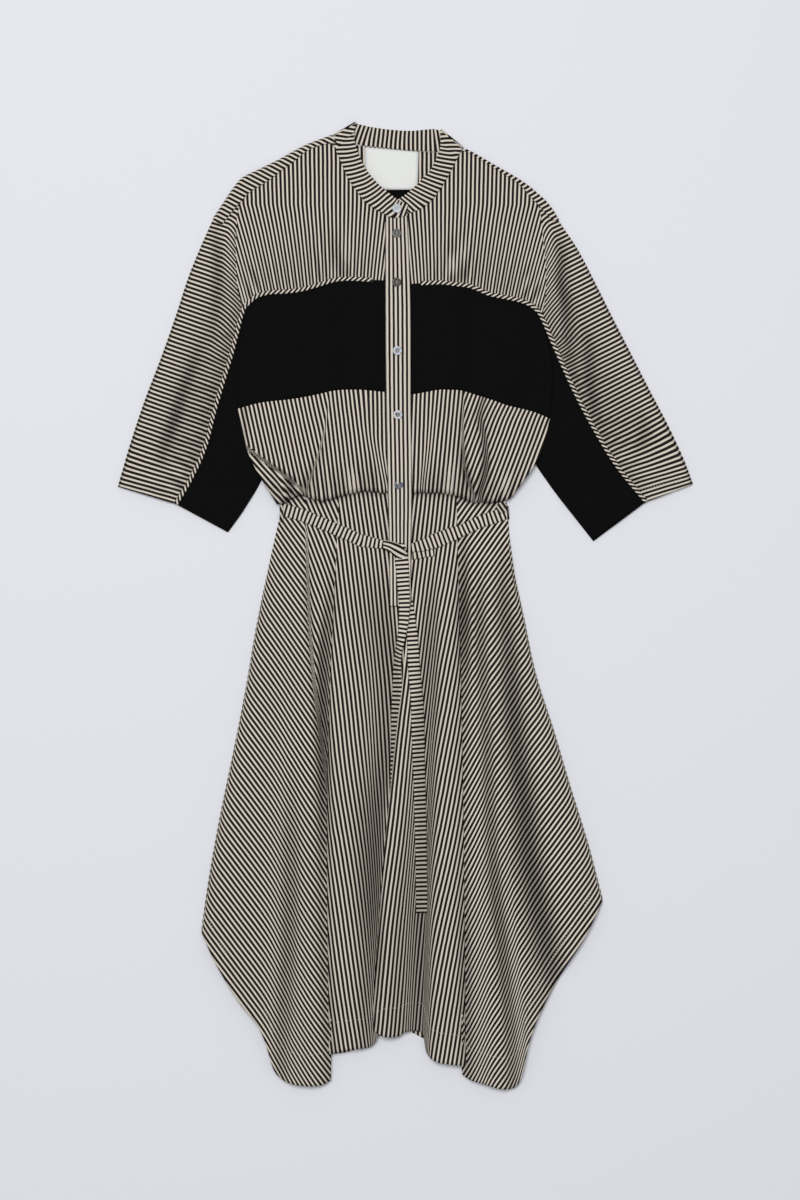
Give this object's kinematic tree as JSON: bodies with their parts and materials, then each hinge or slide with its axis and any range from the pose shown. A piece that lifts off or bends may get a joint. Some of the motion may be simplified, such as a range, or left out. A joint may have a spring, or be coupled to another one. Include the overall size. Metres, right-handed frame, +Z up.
{
  "type": "shirt dress",
  "caption": "Striped button-front shirt dress with a stand collar, black bodice panels, short wide sleeves, a tied belt and a midi skirt, laid flat on its back.",
  "frame": {"origin": "middle of the dress's outline on the surface it lies on", "axes": "+Y towards the collar, +X to the right of a person who looks down on the front, +Z up from the surface"},
  "size_m": [0.719, 1.208, 0.0169],
  "materials": {
    "striped_cloth": "matt woven cotton with fine dark and cream stripes, about 5.4 mm from one to the next",
    "black_cloth": "matt plain woven black cotton",
    "label_cloth": "smooth off-white woven label, bare",
    "shirt_button": "polished, smoky mother-of-pearl look"
  },
  "bodies": {
    "root": {"front_yoke_left": "striped_cloth", "front_yoke_right": "striped_cloth", "lower_bodice_left": "striped_cloth", "lower_bodice_right": "striped_cloth", "sleeve_left": "striped_cloth", "sleeve_right": "striped_cloth", "piping_left": "striped_cloth", "piping_right": "striped_cloth", "back_yoke": "striped_cloth", "back_lower_bodice": "striped_cloth", "collar_band": "striped_cloth", "skirt_side_left": "striped_cloth", "skirt_side_right": "striped_cloth", "skirt_front_left": "striped_cloth", "skirt_front_right": "striped_cloth", "skirt_back": "striped_cloth", "front_placket": "striped_cloth", "belt_left": "striped_cloth", "belt_right": "striped_cloth", "belt_back": "striped_cloth", "belt_under": "striped_cloth", "belt_knot": "striped_cloth", "belt_tail_short": "striped_cloth", "belt_tail_long": "striped_cloth", "belt_loop_left": "striped_cloth", "belt_loop_right": "striped_cloth", "front_band_left": "black_cloth", "front_band_right": "black_cloth", "under_sleeve_left": "black_cloth", "under_sleeve_right": "black_cloth", "back_band": "black_cloth", "neck_label": "label_cloth", "button_1": "shirt_button", "button_2": "shirt_button", "button_3": "shirt_button", "button_4": "shirt_button", "button_5": "shirt_button", "button_6": "shirt_button"}
  },
  "joints": []
}
